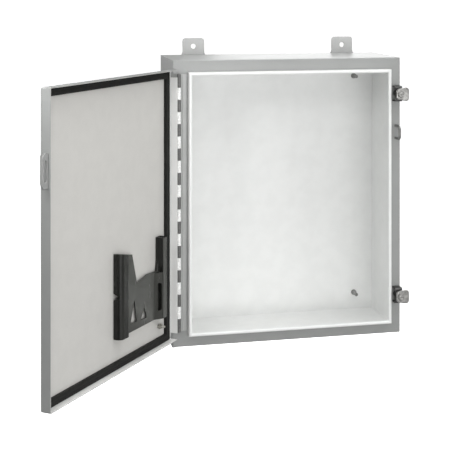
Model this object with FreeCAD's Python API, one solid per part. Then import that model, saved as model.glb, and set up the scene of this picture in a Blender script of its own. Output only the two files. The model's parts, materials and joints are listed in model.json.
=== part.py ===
import FreeCAD, Part
import math
import os

# Wall-mounted steel enclosure with a continuously hinged, gasketed door that stands open.
#
# Modelling frame (millimetres):
#   x  from the body's left outer face (hinge side) towards the latch side
#   y  from the front face of the body flange into the cabinet (negative = out)
#   z  from the body's bottom face upwards
# Door pieces are drawn closed and then swung open. On writing, every piece is moved so that
# the origin is the centre of the four-hole wall pattern, on the rear face of the feet.

V = FreeCAD.Vector
X_AXIS = V(1, 0, 0)
Y_AXIS = V(0, 1, 0)
Z_AXIS = V(0, 0, 1)

# body
BODY_W = 508.0
BODY_H = 609.6
BODY_D = 203.2
SHEET = 1.9                  # 14 gauge sheet
BEND_IN = 1.5                # inside bend radius
BEND_OUT = SHEET + BEND_IN
HALF_SHEET = SHEET / 2.0
FLANGE_W = 25.4              # flange width at top, bottom and latch side
HINGE_FLANGE_W = 33.0        # wider flange on the hinge side
LIP_H = 19.0                 # height of the rolled lip in front of the flange
HEM_W = 7.2                  # outside width of the rolled hem
HEM_BACK = 8.0               # length of the returned leg of the hem

# mounting feet
FOOT_W = 50.8
FOOT_T = 3.4
FOOT_RISE = 38.1             # height of the tab beyond the body
FOOT_LAP = 44.0              # overlap with the back wall
FOOT_FLARE = 3.0             # extra width of the lapped part, each side
FOOT_INSET = 76.2            # centre line from the side of the body
FOOT_HOLE_D = 11.1
FOOT_HOLE_DROP = 19.05       # hole centre below the end of the tab

# continuous hinge
AXIS_X = 13.5
AXIS_Y = -6.4
PIN_R = 2.03
BORE_R = 2.1
KNUCKLE_R = 4.0
HINGE_Z0 = 35.0
HINGE_Z1 = 580.5
KNUCKLE_MID = 307.6          # centre of the middle body knuckle
KNUCKLE_PITCH = 51.56        # body knuckle to body knuckle
KNUCKLE_GAP = 0.25
REST_OPEN = 126.2            # opening angle of the door in the rest pose

# door and gasket
DOOR_X0 = AXIS_X + BORE_R + SHEET               # hinge side edge, against the door leaf
DOOR_X1 = 487.0                                 # latch side edge
DOOR_Z0 = 19.1
DOOR_Z1 = 590.5
DOOR_DEEP = 21.5                                # depth of the return flanges, skin included
RETURN_Z0 = 32.6                                # ends of the hinge side return flange
RETURN_Z1 = 574.0
GASKET_T = 7.0
GASKET_W = 16.0
GASKET_GAP = 0.2                                # rest clearance between gasket and lip
GASKET_X0 = 28.5                                # hinge side edge of the gasket
GASKET_SIDE_GAP = 0.15                          # clearance to the return flanges
DOOR_IN = -(LIP_H + GASKET_GAP + GASKET_T)      # inner face of the door skin
DOOR_OUT = DOOR_IN - SHEET                      # front face of the door skin
DOOR_BACK = DOOR_OUT + DOOR_DEEP                # rear edge of the return flanges

TO_ORIGIN = V(-BODY_W / 2.0, -(BODY_D + FOOT_T), -BODY_H / 2.0)

os.makedirs("parts", exist_ok=True)


# ---------------------------------------------------------------------------
# helpers
# ---------------------------------------------------------------------------
def box(x0, x1, y0, y1, z0, z1):
    return Part.makeBox(x1 - x0, y1 - y0, z1 - z0, V(x0, y0, z0))


def cyl(x, y, z, axis, radius, length):
    return Part.makeCylinder(radius, length, V(x, y, z), axis)


def loop(points, radii):
    """Closed wire in the XY plane through the points, each corner rounded."""
    count = len(points)
    corners = []                 # start, middle (None if sharp) and end of each corner
    for i in range(count):
        tip = V(*points[i], 0)
        to_last = V(*points[i - 1], 0) - tip
        to_next = V(*points[(i + 1) % count], 0) - tip
        to_last.normalize()
        to_next.normalize()
        angle = to_last.getAngle(to_next)
        radius = radii[i]
        if radius <= 1e-6 or abs(angle - math.pi) < 1e-6:
            corners.append((tip, None, tip))
            continue
        setback = radius / math.tan(angle / 2.0)
        bisector = to_last + to_next
        bisector.normalize()
        centre = tip + bisector * (radius / math.sin(angle / 2.0))
        corners.append((tip + to_last * setback, centre - bisector * radius,
                        tip + to_next * setback))
    edges = []
    for i, (start, middle, end) in enumerate(corners):
        if middle is not None:
            edges.append(Part.Arc(start, middle, end).toShape())
        following = corners[(i + 1) % count][0]
        if (following - end).Length > 1e-6:
            edges.append(Part.LineSegment(end, following).toShape())
    return Part.Wire(edges)


def plate_xy(points, radii, z0, z1):
    """Prism with an outline in X and Y, between z0 and z1."""
    solid = Part.Face(loop(points, radii)).extrude(V(0, 0, z1 - z0))
    solid.translate(V(0, 0, z0))
    return solid


def plate_xz(points, radii, y0, y1):
    """Prism with an outline in X and Z, between y0 and y1 (y0 < y1)."""
    solid = Part.Face(loop(points, radii)).extrude(V(0, 0, y1 - y0))
    solid.Placement = FreeCAD.Placement(V(0, y1, 0), FreeCAD.Rotation(X_AXIS, 90))
    return solid


def to_yz(shape):
    """Cyclic turn: a shape drawn in (x, y, z) comes to lie in (y, z, x)."""
    turn = FreeCAD.Placement(V(0, 0, 0), FreeCAD.Rotation(V(1, 1, 1), 120))
    shape = shape.copy()
    shape.Placement = turn.multiply(shape.Placement)
    return shape


def ribbon(path, thickness, r_in, z0, z1):
    """Folded sheet: the centre line path given a thickness, extruded in Z."""
    half = thickness / 2.0
    r_out = r_in + thickness
    spots = [V(x, y, 0) for x, y in path]
    normals = []
    for start, end in zip(spots, spots[1:]):
        run = end - start
        run.normalize()
        normals.append(V(-run.y, run.x, 0))
    left, right = [], []         # (x, y, corner radius) along each face of the sheet
    for i, spot in enumerate(spots):
        if i in (0, len(spots) - 1):
            offset = normals[0 if i == 0 else -1] * half
            r_left = r_right = 0.0
        else:
            before, after = normals[i - 1], normals[i]
            offset = before + after
            offset.normalize()
            offset = offset * (half / offset.dot(before))
            turns_left = before.x * after.y - before.y * after.x > 0
            r_left, r_right = (r_in, r_out) if turns_left else (r_out, r_in)
        left.append((spot.x + offset.x, spot.y + offset.y, r_left))
        right.append((spot.x - offset.x, spot.y - offset.y, r_right))
    outline = left + right[::-1]
    return plate_xy([(x, y) for x, y, _ in outline], [r for _, _, r in outline], z0, z1)


def rect(x0, x1, z0, z1):
    return [(x0, z0), (x1, z0), (x1, z1), (x0, z1)]


def hexagon(x, z, across_flats):
    radius = across_flats / 2.0 / math.cos(math.pi / 6)
    angles = [math.radians(60 * i) for i in range(6)]
    return [(x + radius * math.cos(a), z + radius * math.sin(a)) for a in angles]


def largest(shape):
    return max(shape.Solids, key=lambda solid: solid.Volume)


def fillet(shape, radius, test):
    """Round the edges that pass the test; the shape is unchanged if none does."""
    edges = [e for e in shape.Edges if test(e)]
    return shape.makeFillet(radius, edges) if edges else shape


def along(edge, axis):
    run = edge.Vertexes[-1].Point - edge.Vertexes[0].Point
    if run.Length < 1e-6:
        return False
    run.normalize()
    return abs(abs(run.dot(axis)) - 1.0) < 1e-6


def is_circle(edge):
    return edge.Curve.TypeId == "Part::GeomCircle"


def write(name, shape):
    shape = shape.copy()
    shape.translate(TO_ORIGIN)
    shape.removeSplitter().exportStep("parts/%s.step" % name)


def write_open(name, shape):
    """Write a door piece, turned from the closed pose to the rest pose."""
    shape = shape.copy()
    shape.rotate(V(AXIS_X, AXIS_Y, 0), Z_AXIS, -REST_OPEN)
    write(name, shape)


# ---------------------------------------------------------------------------
# body: one wrapped sheet for the sides and back, with separate end walls
# In this section and the next, end is 1 at the top of the body and -1 at the bottom.
# ---------------------------------------------------------------------------
LIP_X = {-1: HINGE_FLANGE_W, 1: BODY_W - FLANGE_W}      # outer faces of the side lips
LIP_Z = {-1: FLANGE_W, 1: BODY_H - FLANGE_W}            # outer faces of the end lips
EDGE_Z = {-1: 0.0, 1: BODY_H}
HEM_Y = -LIP_H + HALF_SHEET                             # centre line of the hem's front
HEM_TAIL_Y = -LIP_H + HEM_BACK
MITRE_Y0 = -LIP_H - 5.0                                 # front of the mitre cutters
MITRE_RUN = 192.0                                       # inward run of the wrap's mitre cutters
MITRE_OVER = 5.0                                        # their overrun beyond the flange
END_MITRE_RUN = 40.0                                    # inward run of the end walls' mitre


def mitre_wedge(side, end):
    """Region on the end wall's side of a 45 degree line through a lip corner."""
    x, z = LIP_X[side], LIP_Z[end]
    over = FLANGE_W + MITRE_OVER
    points = [(x + side * FLANGE_W, z + end * FLANGE_W),
              (x - side * MITRE_RUN, z - end * MITRE_RUN),
              (x - side * MITRE_RUN, z + end * over),
              (x + side * over, z + end * over)]
    return plate_xz(points, [0] * 4, MITRE_Y0, BEND_OUT)


def body_wrap():
    lip_l, lip_r = LIP_X[-1], LIP_X[1]
    h = HALF_SHEET
    path = [(lip_r - HEM_W + h, HEM_TAIL_Y), (lip_r - HEM_W + h, HEM_Y), (lip_r - h, HEM_Y),
            (lip_r - h, h), (BODY_W - h, h), (BODY_W - h, BODY_D - h), (h, BODY_D - h),
            (h, h), (lip_l + h, h), (lip_l + h, HEM_Y), (lip_l + HEM_W - h, HEM_Y),
            (lip_l + HEM_W - h, HEM_TAIL_Y)]
    sheet = ribbon(path, SHEET, BEND_IN, 0.0, BODY_H)
    for side in (1, -1):
        for end in (1, -1):
            sheet = sheet.cut(mitre_wedge(side, end))
    return largest(sheet)


def end_wall(end, wrap):
    lip, h = LIP_Z[end], HALF_SHEET
    wall_z = EDGE_Z[end] - end * h
    lip_z = lip - end * h
    hem_z = lip - end * (HEM_W - h)
    path = [(BODY_D - SHEET, wall_z), (h, wall_z), (h, lip_z),
            (HEM_Y, lip_z), (HEM_Y, hem_z), (HEM_TAIL_Y, hem_z)]
    sheet = to_yz(ribbon(path, SHEET, BEND_IN, 0.0, BODY_W))
    # front zone: trapezium between the two mitre lines
    z_out, z_in = lip + end * FLANGE_W, lip - end * END_MITRE_RUN
    points = [(LIP_X[-1] - FLANGE_W, z_out), (LIP_X[-1] + END_MITRE_RUN, z_in),
              (LIP_X[1] - END_MITRE_RUN, z_in), (LIP_X[1] + FLANGE_W, z_out)]
    front = plate_xz(points, [0] * 4, MITRE_Y0, BEND_OUT)
    rear = box(SHEET, BODY_W - SHEET, BEND_OUT, BODY_D - SHEET, -1.0, BODY_H + 1.0)
    # closes the bend zone beside the trapezium
    bend_zone = box(SHEET, BODY_W - SHEET, SHEET, BEND_OUT, -1.0, BODY_H + 1.0)
    wall = sheet.common(front).fuse(sheet.common(rear)).fuse(sheet.common(bend_zone))
    return largest(wall.cut(wrap).removeSplitter())


wrap = body_wrap()
write("body_wrap", wrap)
write("top_wall", end_wall(1, wrap))
write("bottom_wall", end_wall(-1, wrap))


# ---------------------------------------------------------------------------
# mounting feet: pierced tabs on the rear face of the back wall
# ---------------------------------------------------------------------------
def foot(x, end):
    edge = EDGE_Z[end]
    z_in = edge - end * FOOT_LAP
    z_wide = edge - end * 2.0        # the taper runs from here
    z_narrow = edge + end * 6.0      # to here
    z_out = edge + end * FOOT_RISE
    narrow = FOOT_W / 2.0
    wide = narrow + FOOT_FLARE
    points = [(x - wide, z_in), (x + wide, z_in), (x + wide, z_wide), (x + narrow, z_narrow),
              (x + narrow, z_out), (x - narrow, z_out), (x - narrow, z_narrow),
              (x - wide, z_wide)]
    tab = plate_xz(points, [3, 3, 4, 4, 7, 7, 4, 4], BODY_D, BODY_D + FOOT_T)
    return tab.cut(cyl(x, BODY_D - 1, z_out - end * FOOT_HOLE_DROP, Y_AXIS,
                       FOOT_HOLE_D / 2.0, FOOT_T + 2))


for end_name, end in (("top", 1), ("bottom", -1)):
    for side_name, x in (("left", FOOT_INSET), ("right", BODY_W - FOOT_INSET)):
        write("mounting_foot_%s_%s" % (end_name, side_name), foot(x, end))

# ---------------------------------------------------------------------------
# continuous hinge: two leaves with interleaved knuckles and one pin
# ---------------------------------------------------------------------------
LEAF_BEND = 1.0              # inside bend radius of the leaves
SWEEP = 6.0                  # reach of the clearance cuts from the axis
SWEEP_GAP = 0.7              # clearance beyond the other leaf's knuckles
PIN_HEAD_R = 3.3


def knuckle_spans(steps):
    """Axial spans of the knuckles, before their end gaps are taken off."""
    half = KNUCKLE_PITCH / 4.0
    centres = [KNUCKLE_MID + KNUCKLE_PITCH * step for step in steps]
    return [[z - half, z + half] for z in centres]


def leaf(path, own_spans, other_spans, clear):
    """clear is the (x0, x1, y0, y1) zone emptied opposite the other leaf's knuckles."""
    strip = ribbon(path, SHEET, LEAF_BEND, HINGE_Z0, HINGE_Z1)
    for z0, z1 in other_spans:
        strip = strip.cut(box(*clear, z0 - KNUCKLE_GAP, z1 + KNUCKLE_GAP))
    for z0, z1 in own_spans:
        strip = strip.fuse(cyl(AXIS_X, AXIS_Y, z0 + KNUCKLE_GAP, Z_AXIS,
                               KNUCKLE_R, z1 - z0 - 2 * KNUCKLE_GAP))
    strip = strip.cut(cyl(AXIS_X, AXIS_Y, HINGE_Z0 - 5, Z_AXIS, BORE_R,
                          HINGE_Z1 - HINGE_Z0 + 10))
    return strip.removeSplitter()


def hinge_pin():
    pin = cyl(AXIS_X, AXIS_Y, HINGE_Z0 - 2.0, Z_AXIS, PIN_R, HINGE_Z1 - HINGE_Z0 + 3.5)
    pin = pin.fuse(cyl(AXIS_X, AXIS_Y, HINGE_Z0 - 2.2, Z_AXIS, PIN_HEAD_R, 1.8))
    return fillet(pin, 0.6, lambda e: is_circle(e) and e.CenterOfMass.z > HINGE_Z1)


body_spans = knuckle_spans(range(-5, 6))
door_spans = knuckle_spans([k + 0.5 for k in range(-5, 5)])
# the end knuckles of the body leaf run to the ends of the leaf
body_spans[0][0] = HINGE_Z0 - KNUCKLE_GAP
body_spans[-1][1] = HINGE_Z1 + KNUCKLE_GAP

# body leaf: joggled strip on the flange
leaf_y = AXIS_Y + BORE_R + HALF_SHEET
body_path = [(30.0, -HALF_SHEET), (22.6, -HALF_SHEET), (19.0, leaf_y), (AXIS_X, leaf_y)]
body_clear = (AXIS_X - SWEEP, AXIS_X + KNUCKLE_R + SWEEP_GAP, AXIS_Y - SWEEP, 1.0)
# door leaf: flat strip outside the return
leaf_x = AXIS_X + BORE_R + HALF_SHEET
door_path = [(leaf_x, DOOR_IN + 1.5), (leaf_x, AXIS_Y)]
door_clear = (AXIS_X - SWEEP, AXIS_X + SWEEP, AXIS_Y - KNUCKLE_R - SWEEP_GAP, AXIS_Y + SWEEP)

write("body_hinge_leaf", leaf(body_path, body_spans, door_spans, body_clear))
write_open("door_hinge_leaf", leaf(door_path, door_spans, body_spans, door_clear))
write("hinge_pin", hinge_pin())


# ---------------------------------------------------------------------------
# door: shallow pan with four return flanges, relieved at the hinge corners
# ---------------------------------------------------------------------------
def pan(x0, x1, y0, y1, z0, z1, radius):
    """Block with its four front edges and four edges along Y rounded."""
    return fillet(box(x0, x1, y0, y1, z0, z1), radius,
                  lambda e: along(e, Y_AXIS) or abs(e.CenterOfMass.y - y0) < 1e-3)


def door_shell():
    outside = pan(DOOR_X0, DOOR_X1, DOOR_OUT, DOOR_BACK, DOOR_Z0, DOOR_Z1, BEND_OUT)
    inside = pan(DOOR_X0 + SHEET, DOOR_X1 - SHEET, DOOR_IN, DOOR_BACK + 5,
                 DOOR_Z0 + SHEET, DOOR_Z1 - SHEET, BEND_IN)
    door = outside.cut(inside)
    # hinge side return: cut back beside the barrel and notched at both ends
    door = door.cut(box(DOOR_X0 - 1, DOOR_X0 + SHEET + 0.5, DOOR_BACK - 1.0, DOOR_BACK + 1,
                        DOOR_Z0 - 1, DOOR_Z1 + 1))
    for z0, z1 in ((DOOR_Z0 - 1, RETURN_Z0), (RETURN_Z1, DOOR_Z1 + 1)):
        door = door.cut(box(DOOR_X0 - 1, DOOR_X0 + SHEET + 1.6, DOOR_IN + 2.0, DOOR_BACK + 1,
                            z0, z1))
    return largest(door)


def door_gasket():
    """Rectangular ring on the inner face of the skin."""
    inset = SHEET + GASKET_SIDE_GAP
    x0, x1 = GASKET_X0, DOOR_X1 - inset
    z0, z1 = DOOR_Z0 + inset, DOOR_Z1 - inset
    ring = plate_xz(rect(x0, x1, z0, z1), [2.0, 0, 0, 2.0], DOOR_IN, DOOR_IN + GASKET_T)
    # follow the bends at the foot of the returns
    ring = ring.common(pan(DOOR_X0 + inset, x1, DOOR_IN, DOOR_IN + GASKET_T + 5, z0, z1,
                           BEND_IN))
    opening = rect(x0 + GASKET_W, x1 - GASKET_W, z0 + GASKET_W, z1 - GASKET_W)
    return ring.cut(plate_xz(opening, [3.0] * 4, DOOR_IN - 1, DOOR_IN + GASKET_T + 1))


write_open("door_shell", door_shell())
write_open("door_gasket", door_gasket())

# ---------------------------------------------------------------------------
# document pocket on the inner face of the door, near its lower hinge corner:
# two deep columns with a shallow panel between them
# ---------------------------------------------------------------------------
POCKET_X0, POCKET_X1 = 63.0, 247.0      # hinge side and latch side ends
COLUMN_X0, COLUMN_X1 = 81.0, 218.0      # inner faces of the two columns
POCKET_Z0 = 80.5
HINGE_COLUMN_TOP = 247.0
LATCH_COLUMN_TOP = 247.5                # height of the sloping cut at the latch side end
POCKET_WALL = 2.0
TAPE_T = 1.0
POCKET_Y0 = DOOR_IN + TAPE_T
POCKET_Y1 = POCKET_Y0 + 18.0            # front of the columns, towards the cabinet
PANEL_Y = POCKET_Y0 + 5.5               # front of the panel between them
NOTCH_Z = (157.0, 170.5)                # thumb notch in the latch side end
WEB_TOP = 176.0
ABOVE = 300.0                           # clear of the top of the pocket

# x, z and corner radius of the V cut between the columns
VEE = [
    (COLUMN_X0 - 0.2, ABOVE, 0), (COLUMN_X0 - 0.2, 200, 3), (COLUMN_X0 + 3.0, 179.5, 3),
    (100, 179.5, 6), (128, 180.5, 8), (166, 172.5, 3), (184, 231, 20), (189, 260, 0),
    (190, ABOVE, 0)]
# x, z corners of two tapering slits near the floor of the panel
SLITS = [
    [(191.0, 98.0), (176.0, 142.0), (167.0, 96.0)],
    [(150.0, 95.0), (137.0, 117.0), (127.0, 93.0)]]


def pocket_block(inset, step_radius, z0, z1):
    """Prism on the plan of the pocket, shrunk by inset."""
    x0, x1 = POCKET_X0 + inset, POCKET_X1 - inset
    step_x0, step_x1 = COLUMN_X0 - inset, COLUMN_X1 + inset
    y0, y1, panel_y = POCKET_Y0 + inset, POCKET_Y1 - inset, PANEL_Y - inset
    points = [(x0, y0), (x1, y0), (x1, y1), (step_x1, y1),
              (step_x1, panel_y), (step_x0, panel_y), (step_x0, y1), (x0, y1)]
    radii = [0.8, 0.8, 11.0 - inset] + [step_radius] * 4 + [3.4 - inset]
    return plate_xy(points, radii, z0, z1)


def data_pocket():
    floor_z = POCKET_Z0 + POCKET_WALL
    y_near, y_far = POCKET_Y0 - 1, POCKET_Y1 + 1
    back_y = POCKET_Y0 + POCKET_WALL + 0.3
    pocket = pocket_block(0.0, 1.6, POCKET_Z0, HINGE_COLUMN_TOP)
    pocket = pocket.cut(pocket_block(POCKET_WALL, 0.8, floor_z, ABOVE))
    # the middle has no back: the sheets lie against the door
    pocket = pocket.cut(box(COLUMN_X0 + 4.0, COLUMN_X1 - 4.0, y_near, back_y, floor_z, ABOVE))

    # sloping web from the panel to the front of the hinge side column, with an oval slot
    foot_y, head_y = PANEL_Y - 1.0, POCKET_Y1 - 1.5
    slope = [(COLUMN_X0 + 16.0, foot_y), (COLUMN_X0 + 16.0, PANEL_Y),
             (COLUMN_X0 + 1.0, head_y), (COLUMN_X0 - 1.0, head_y)]
    web = plate_xy(slope + [(COLUMN_X0 - 1.0, POCKET_Y1 - 4.0), (COLUMN_X0 + 12.6, foot_y)],
                   [0] * 6, POCKET_Z0, WEB_TOP)
    web = web.cut(plate_xz(rect(COLUMN_X0 + 1.6, COLUMN_X0 + 11.0, 98.0, 155.0), [4.0] * 4,
                           PANEL_Y + 0.3, y_far))
    pocket = pocket.fuse(web)
    # plates that close the web at its bottom and top
    for z0, z1 in ((POCKET_Z0, floor_z), (WEB_TOP - POCKET_WALL, WEB_TOP)):
        pocket = pocket.fuse(plate_xy([(COLUMN_X0 - 1.0, foot_y)] + slope, [0] * 5, z0, z1))

    pocket = pocket.cut(plate_xz([(x, z) for x, z, _ in VEE], [r for _, _, r in VEE],
                                 y_near, y_far))
    # sloping top of the latch side column
    pocket = pocket.cut(plate_xz([(160, ABOVE), (160, 228.6), (189, 234.4),
                                  (POCKET_X1 + 2, LATCH_COLUMN_TOP), (POCKET_X1 + 2, ABOVE)],
                                 [0] * 5, y_near, y_far))
    # thumb notch in the latch side end, with the back cut away behind it
    notch = [(y_near, NOTCH_Z[0] - 0.5), (POCKET_Y0 + 14.5, 163.0), (y_near, NOTCH_Z[1] + 0.5)]
    pocket = pocket.cut(to_yz(plate_xy(notch, [0, 0.6, 0], POCKET_X1 - 6, POCKET_X1 + 2)))
    pocket = pocket.cut(box(COLUMN_X1 - 5, POCKET_X1 - POCKET_WALL, y_near, back_y,
                            NOTCH_Z[0] - 3, NOTCH_Z[1] + 3))
    for slit in SLITS:
        pocket = pocket.cut(plate_xz(slit, [1.6, 0.8, 1.6], y_near, PANEL_Y + 1))
    return largest(pocket)


def adhesive_strips():
    """One strip behind the hinge side column, two behind the other, clear of the notch."""
    z0 = POCKET_Z0 + 6
    hinge_x = (POCKET_X0 + 3, COLUMN_X0 - 2)
    latch_x = (COLUMN_X1 + 3, POCKET_X1 - 4)
    return Part.makeCompound([
        box(*hinge_x, DOOR_IN, POCKET_Y0, z0, HINGE_COLUMN_TOP - 10),
        box(*latch_x, DOOR_IN, POCKET_Y0, z0, NOTCH_Z[0] - 5),
        box(*latch_x, DOOR_IN, POCKET_Y0, NOTCH_Z[1] + 5, LATCH_COLUMN_TOP - 16)])


write_open("data_pocket", data_pocket())
write_open("pocket_adhesive_strips", adhesive_strips())

# ---------------------------------------------------------------------------
# grounding studs and flanged nuts, on the door skin and on the hinge side wall
# ---------------------------------------------------------------------------
DOOR_GROUND = V(68.0, DOOR_IN, 59.5)    # centres of the stud bases
BODY_GROUND = V(SHEET, 60.0, 70.0)
GROUND_NUT_LIFT = 5.0                   # stud base to the underside of the hexagon


def ground_stud(base, axis, length):
    return cyl(*base, axis, 2.4, length).fuse(cyl(*base, axis, 4.5, 1.2))


def ground_nut(base, axis, rotation):
    """Nut drawn along Z; the rotation turns Z to the axis."""
    nut = plate_xy(hexagon(0, 0, 9.0), [0.6] * 6, 0, 4.0)
    nut = nut.fuse(cyl(0, 0, -1.1, Z_AXIS, 5.6, 1.1)).cut(cyl(0, 0, -5, Z_AXIS, 2.45, 20))
    nut.Placement = FreeCAD.Placement(base + axis * GROUND_NUT_LIFT, rotation)
    return nut


write_open("door_ground_stud", ground_stud(DOOR_GROUND, Y_AXIS, 16.0))
write_open("door_ground_nut", ground_nut(DOOR_GROUND, Y_AXIS, FreeCAD.Rotation(X_AXIS, -90)))
write("body_ground_stud", ground_stud(BODY_GROUND, X_AXIS, 18.0))
write("body_ground_nut", ground_nut(BODY_GROUND, X_AXIS, FreeCAD.Rotation(Y_AXIS, 90)))

# ---------------------------------------------------------------------------
# collar studs for the sub-panel, on the inside of the back wall
# ---------------------------------------------------------------------------
STUD_X = (47.6, 460.35)
STUD_Z = (40.0, 554.35)
STUD_R = 3.95
STUD_OUT = 25.0
COLLAR_R = 6.6
COLLAR_OUT = 7.5


def panel_stud(x, z):
    root_y = BODY_D - SHEET
    tip_y = root_y - STUD_OUT
    stud = cyl(x, root_y, z, -Y_AXIS, STUD_R, STUD_OUT)
    stud = fillet(stud, 0.8, lambda e: is_circle(e) and abs(e.CenterOfMass.y - tip_y) < 1e-3)
    return stud.fuse(cyl(x, root_y, z, -Y_AXIS, COLLAR_R, COLLAR_OUT))


write("panel_studs", Part.makeCompound([panel_stud(x, z) for x in STUD_X for z in STUD_Z]))

# ---------------------------------------------------------------------------
# screw-down clamps: bracket on the flange, captive screw, pivoting arm
# ---------------------------------------------------------------------------
CLAMP_X = 498.0
CLAMP_Z = {"upper": 530.5, "lower": 87.0}
SCREW_R = 3.175
CLAMP_BORE_R = 3.24
BRACKET_X = (489.6, 506.0)
BRACKET_DEEP = 20.0
BRACKET_HALF = 17.0          # half height
BRACKET_T = 2.8
BRACKET_BEND = 4.0           # outside bend radius
ARM_FRONT = -34.6
ARM_BACK = DOOR_OUT - 0.5    # rear edge of the arm, just clear of the door face
ARM_T = 2.4
ARM_REACH = 19.0
ARM_HEEL = 9.5
ARM_HALF = 15.5              # half height at the reaching end
ARM_TAPER = 4.0              # loss of half height at the heel
HUB_BACK = -22.9


def clamp_bracket(z):
    """Pressed channel with a bored boss."""
    x0, x1 = BRACKET_X

    def channel_block(over, y0, y1, half, radius):
        block = box(x0 - over, x1 + over, y0, y1, z - half, z + half)
        return fillet(block, radius,
                      lambda e: along(e, X_AXIS) and abs(e.CenterOfMass.y - y0) < 1e-3)

    bracket = channel_block(0.0, -BRACKET_DEEP, 0.0, BRACKET_HALF, BRACKET_BEND)
    bracket = bracket.cut(channel_block(1.0, -BRACKET_DEEP + BRACKET_T, 1.0,
                                        BRACKET_HALF - BRACKET_T, BRACKET_BEND - BRACKET_T))
    depth = BRACKET_DEEP - 1.0
    bracket = bracket.fuse(cyl(CLAMP_X, -depth, z, Y_AXIS, 6.6, depth))
    bracket = bracket.cut(cyl(CLAMP_X, -BRACKET_DEEP - 1.0, z, Y_AXIS, CLAMP_BORE_R, depth))
    return bracket.removeSplitter()


def clamp_retainer(z):
    """Ring that carries the arm along the screw."""
    ring = cyl(CLAMP_X, -22.4, z, Y_AXIS, 6.2, 1.6)
    return ring.cut(cyl(CLAMP_X, -23, z, Y_AXIS, CLAMP_BORE_R, 4))


def arm_block(z, inset, y0, y1):
    heel_x, reach_x = CLAMP_X - ARM_HEEL + inset, CLAMP_X + ARM_REACH - inset
    half = ARM_HALF - inset
    heel_half = half - ARM_TAPER
    points = [(heel_x, z - heel_half), (reach_x, z - half),
              (reach_x, z + half), (heel_x, z + heel_half)]
    return plate_xz(points, [8.0 - inset, 6.0 - inset, 6.0 - inset, 8.0 - inset], y0, y1)


def clamp_arm(z):
    """Shallow pressed cup with a hub, pointing away from the door at rest."""
    def on_front(edge):
        bounds = edge.BoundBox
        return abs(bounds.YMin - ARM_FRONT) < 1e-3 and abs(bounds.YMax - ARM_FRONT) < 1e-3

    arm = fillet(arm_block(z, 0.0, ARM_FRONT, ARM_BACK), 2.0, on_front)
    arm = arm.cut(arm_block(z, ARM_T, ARM_FRONT + ARM_T, ARM_BACK + 1.0))
    hub_front = ARM_FRONT + 1.0
    arm = arm.fuse(cyl(CLAMP_X, hub_front, z, Y_AXIS, 7.0, HUB_BACK - hub_front))
    arm = arm.cut(cyl(CLAMP_X, ARM_FRONT - 1.0, z, Y_AXIS, CLAMP_BORE_R, 20.0))
    return arm.removeSplitter()


def clamp_screw(z):
    """Shank with a slotted, flanged hex head."""
    screw = cyl(CLAMP_X, ARM_FRONT - 0.4, z, Y_AXIS, SCREW_R, 31.0)
    head = plate_xz(hexagon(CLAMP_X, z, 11.1), [0.5] * 6, ARM_FRONT - 5.0, ARM_FRONT - 1.6)
    flange = cyl(CLAMP_X, ARM_FRONT - 1.7, z, Y_AXIS, 7.0, 1.5)
    slot = box(CLAMP_X - 9, CLAMP_X + 9, ARM_FRONT - 6.0, ARM_FRONT - 3.2, z - 0.9, z + 0.9)
    return screw.fuse(head).fuse(flange).cut(slot).removeSplitter()


for place, z in CLAMP_Z.items():
    write(place + "_clamp_bracket", clamp_bracket(z))
    write(place + "_clamp_retainer", clamp_retainer(z))
    write(place + "_clamp_arm", clamp_arm(z))
    write(place + "_clamp_screw", clamp_screw(z))

# ---------------------------------------------------------------------------
# padlock provision: rod staple on the body flange, slotted hasp on the door
# ---------------------------------------------------------------------------
HASP_Z = 445.0
STAPLE_X = 497.5
STAPLE_R = 2.8               # rod radius
STAPLE_H = 33.0
STAPLE_OUT = 31.0
STAPLE_BEND = 9.0            # bend radius of the rod's centre line
HASP_L = 62.0
HASP_T = 2.5
HASP_FRONT = DOOR_OUT + 1.6  # front edge of the leg on the door return
HASP_PLATE_Y = -12.0         # front face of the slotted leg
HASP_X1 = 506.5              # free end of the slotted leg


def padlock_staple():
    def point(y, z):
        return V(STAPLE_X, y, z)

    leg = STAPLE_H / 2.0 - STAPLE_R
    z0, z1 = HASP_Z - leg, HASP_Z + leg
    y_front = -STAPLE_OUT + STAPLE_R
    y_bend = y_front + STAPLE_BEND
    z0_bend, z1_bend = z0 + STAPLE_BEND, z1 - STAPLE_BEND
    diagonal = STAPLE_BEND * math.sin(math.pi / 4)
    path = Part.Wire([
        Part.LineSegment(point(0, z0), point(y_bend, z0)).toShape(),
        Part.Arc(point(y_bend, z0), point(y_bend - diagonal, z0_bend - diagonal),
                 point(y_front, z0_bend)).toShape(),
        Part.LineSegment(point(y_front, z0_bend), point(y_front, z1_bend)).toShape(),
        Part.Arc(point(y_front, z1_bend), point(y_bend - diagonal, z1_bend + diagonal),
                 point(y_bend, z1)).toShape(),
        Part.LineSegment(point(y_bend, z1), point(0, z1)).toShape()])
    profile = Part.Wire([Part.Circle(point(0, z0), Y_AXIS, STAPLE_R).toShape()])
    return path.makePipeShell([profile], True, True)


def door_hasp():
    """Angle: one leg on the latch side return, the other over the staple."""
    z0, z1 = HASP_Z - HASP_L / 2, HASP_Z + HASP_L / 2
    leg_x = DOOR_X1 + HASP_T / 2
    plate_y = HASP_PLATE_Y + HASP_T / 2
    hasp = ribbon([(leg_x, HASP_FRONT), (leg_x, plate_y), (HASP_X1, plate_y)],
                  HASP_T, 1.5, z0, z1)
    # round the two free corners of each leg
    plate_keep = plate_xz(rect(DOOR_X1 - 5, HASP_X1, z0, z1), [0, 9, 9, 0], -40, 0)
    leg_keep = to_yz(plate_xy(rect(HASP_FRONT, 0, z0, z1), [8, 0, 0, 8], 480, 512))
    hasp = hasp.common(plate_keep).common(leg_keep)
    slot = rect(STAPLE_X - 4.5, STAPLE_X + 4.5, HASP_Z - 20.0, HASP_Z + 20.0)
    return largest(hasp.cut(plate_xz(slot, [4.4] * 4, -20, 5)))


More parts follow.
